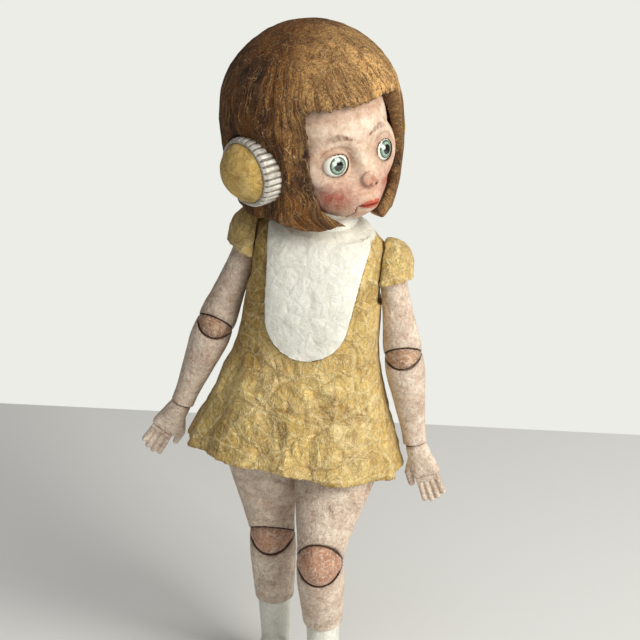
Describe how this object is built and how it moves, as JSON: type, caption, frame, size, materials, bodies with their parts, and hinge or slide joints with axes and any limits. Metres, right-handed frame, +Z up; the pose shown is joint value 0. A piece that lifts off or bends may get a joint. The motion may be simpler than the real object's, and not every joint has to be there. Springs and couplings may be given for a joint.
{
  "type": "ball-jointed paper doll",
  "caption": "Standing ball-jointed doll of painted paper with a round bob, ear pods, a flared ochre dress with a white bib, and jointed neck, jaw, arms, fingers, legs and boots.",
  "frame": {"origin": "on the floor, under the middle of the whole outline, at the level of both boot soles", "axes": "+Z up; the body and its feet face -Y; the doll's own left is +X; the head is turned towards its left"},
  "size_m": [0.1583, 0.0936, 0.3492],
  "materials": {
    "skin_paper": "matte",
    "knee_paper": "matte",
    "ochre_paper": "matte",
    "white_paper": "matte",
    "hair_fibre": "matte",
    "silver_paper": "satin",
    "pad_paper": "matte",
    "eye_gloss": "gloss",
    "elastic": "matte"
  },
  "bodies": {
    "torso": {"dress": "ochre_paper", "bib": "white_paper", "pelvis": "ochre_paper", "neck_elastic": "elastic", "arm_elastic": "elastic", "hip_elastic": "elastic"},
    "neck": {"collar": "white_paper"},
    "head": {"head": "skin_paper", "hair": "hair_fibre", "eye_left": "eye_gloss", "eye_right": "eye_gloss", "ear_ring_left": "silver_paper", "ear_ring_right": "silver_paper", "ear_pad_left": "pad_paper", "ear_pad_right": "pad_paper", "head_toggle": "elastic"},
    "jaw": {"jaw": "skin_paper"},
    "upper_arm_left": {"upper_arm_left": "skin_paper", "sleeve_left": "ochre_paper", "upper_arm_cord_left": "elastic"},
    "elbow_left": {"elbow_ball_left": "skin_paper"},
    "forearm_left": {"forearm_left": "skin_paper", "forearm_cord_left": "elastic"},
    "hand_left": {"hand_left": "skin_paper"},
    "fingers_left": {"fingers_left": "skin_paper"},
    "thigh_left": {"thigh_left": "skin_paper", "thigh_cord_left": "elastic"},
    "knee_left": {"knee_ball_left": "knee_paper"},
    "shin_left": {"shin_left": "skin_paper", "shin_cord_left": "elastic"},
    "boot_left": {"boot_left": "white_paper"},
    "upper_arm_right": {"upper_arm_right": "skin_paper", "sleeve_right": "ochre_paper", "upper_arm_cord_right": "elastic"},
    "elbow_right": {"elbow_ball_right": "skin_paper"},
    "forearm_right": {"forearm_right": "skin_paper", "forearm_cord_right": "elastic"},
    "hand_right": {"hand_right": "skin_paper"},
    "fingers_right": {"fingers_right": "skin_paper"},
    "thigh_right": {"thigh_right": "skin_paper", "thigh_cord_right": "elastic"},
    "knee_right": {"knee_ball_right": "knee_paper"},
    "shin_right": {"shin_right": "skin_paper", "shin_cord_right": "elastic"},
    "boot_right": {"boot_right": "white_paper"}
  },
  "joints": [
    {"name": "head_turn", "type": "hinge", "parent": "torso", "child": "neck", "pos_m": [0.01706, 0.0057, 0.25249], "axis": [0.1261, -0.2588, 0.9577], "range_deg": [-105, 20]},
    {"name": "head_nod", "type": "hinge", "parent": "neck", "child": "head", "pos_m": [0.01826, 0.00324, 0.26159], "axis": [0.7465, 0.6493, 0.1457], "range_deg": [-6, 8]},
    {"name": "jaw_open", "type": "hinge", "parent": "head", "child": "jaw", "pos_m": [0.02892, -0.00989, 0.26547], "axis": [0.7465, 0.6493, 0.1457], "range_deg": [0, 10]},
    {"name": "shoulder_swing_left", "type": "hinge", "parent": "torso", "child": "upper_arm_left", "pos_m": [0.04974, 0.0037, 0.23256], "axis": [-0.9914, 0, 0.1305], "range_deg": [-45, 85]},
    {"name": "elbow_bend_left", "type": "hinge", "parent": "upper_arm_left", "child": "elbow_left", "pos_m": [0.05632, 0.0037, 0.18572], "axis": [-0.9903, 0, -0.1392], "range_deg": [0, 30]},
    {"name": "forearm_bend_left", "type": "hinge", "parent": "elbow_left", "child": "forearm_left", "pos_m": [0.05632, 0.0037, 0.18572], "axis": [-0.9903, 0, -0.1392], "range_deg": [0, 30]},
    {"name": "wrist_turn_left", "type": "hinge", "parent": "forearm_left", "child": "hand_left", "pos_m": [0.06293, 0.0037, 0.13868], "axis": [0.1392, 0, -0.9903], "range_deg": [-60, 60]},
    {"name": "finger_curl_left", "type": "hinge", "parent": "hand_left", "child": "fingers_left", "pos_m": [0.06961, 0.0037, 0.11983], "axis": [0.9426, 0, 0.3338], "range_deg": [0, 60]},
    {"name": "hip_swing_left", "type": "hinge", "parent": "torso", "child": "thigh_left", "pos_m": [0.02154, 0.0037, 0.14095], "axis": [-1, 0, 0], "range_deg": [-44, 13]},
    {"name": "knee_bend_left", "type": "hinge", "parent": "thigh_left", "child": "knee_left", "pos_m": [0.01738, -0.01918, 0.08079], "axis": [1, 0, 0], "range_deg": [-17, 16]},
    {"name": "shin_bend_left", "type": "hinge", "parent": "knee_left", "child": "shin_left", "pos_m": [0.01738, -0.01918, 0.08079], "axis": [1, 0, 0], "range_deg": [-17, 16]},
    {"name": "ankle_bend_left", "type": "hinge", "parent": "shin_left", "child": "boot_left", "pos_m": [0.01738, -0.0093, 0.041], "axis": [1, 0, 0], "range_deg": [-4, 25]},
    {"name": "shoulder_swing_right", "type": "hinge", "parent": "torso", "child": "upper_arm_right", "pos_m": [-0.01967, 0.0037, 0.24169], "axis": [-0.9914, 0, 0.1305], "range_deg": [-45, 85]},
    {"name": "elbow_bend_right", "type": "hinge", "parent": "upper_arm_right", "child": "elbow_right", "pos_m": [-0.03815, 0.0037, 0.19815], "axis": [-0.9205, 0, 0.3907], "range_deg": [0, 30]},
    {"name": "forearm_bend_right", "type": "hinge", "parent": "elbow_right", "child": "forearm_right", "pos_m": [-0.03815, 0.0037, 0.19815], "axis": [-0.9205, 0, 0.3907], "range_deg": [0, 30]},
    {"name": "wrist_turn_right", "type": "hinge", "parent": "forearm_right", "child": "hand_right", "pos_m": [-0.05671, 0.0037, 0.15443], "axis": [-0.3907, 0, -0.9205], "range_deg": [-60, 60]},
    {"name": "finger_curl_right", "type": "hinge", "parent": "hand_right", "child": "fingers_right", "pos_m": [-0.06803, 0.0037, 0.13795], "axis": [0.8241, 0, -0.5664], "range_deg": [0, 60]},
    {"name": "hip_swing_right", "type": "hinge", "parent": "torso", "child": "thigh_right", "pos_m": [-0.01614, 0.0037, 0.14591], "axis": [-1, 0, 0], "range_deg": [-19, 39]},
    {"name": "knee_bend_right", "type": "hinge", "parent": "thigh_right", "child": "knee_right", "pos_m": [-0.01197, 0.00965, 0.08182], "axis": [1, 0, 0], "range_deg": [0, 33]},
    {"name": "shin_bend_right", "type": "hinge", "parent": "knee_right", "child": "shin_right", "pos_m": [-0.01197, 0.00965, 0.08182], "axis": [1, 0, 0], "range_deg": [0, 33]},
    {"name": "ankle_bend_right", "type": "hinge", "parent": "shin_right", "child": "boot_right", "pos_m": [-0.01197, 0.01343, 0.041], "axis": [1, 0, 0], "range_deg": [-12, 15]}
  ]
}
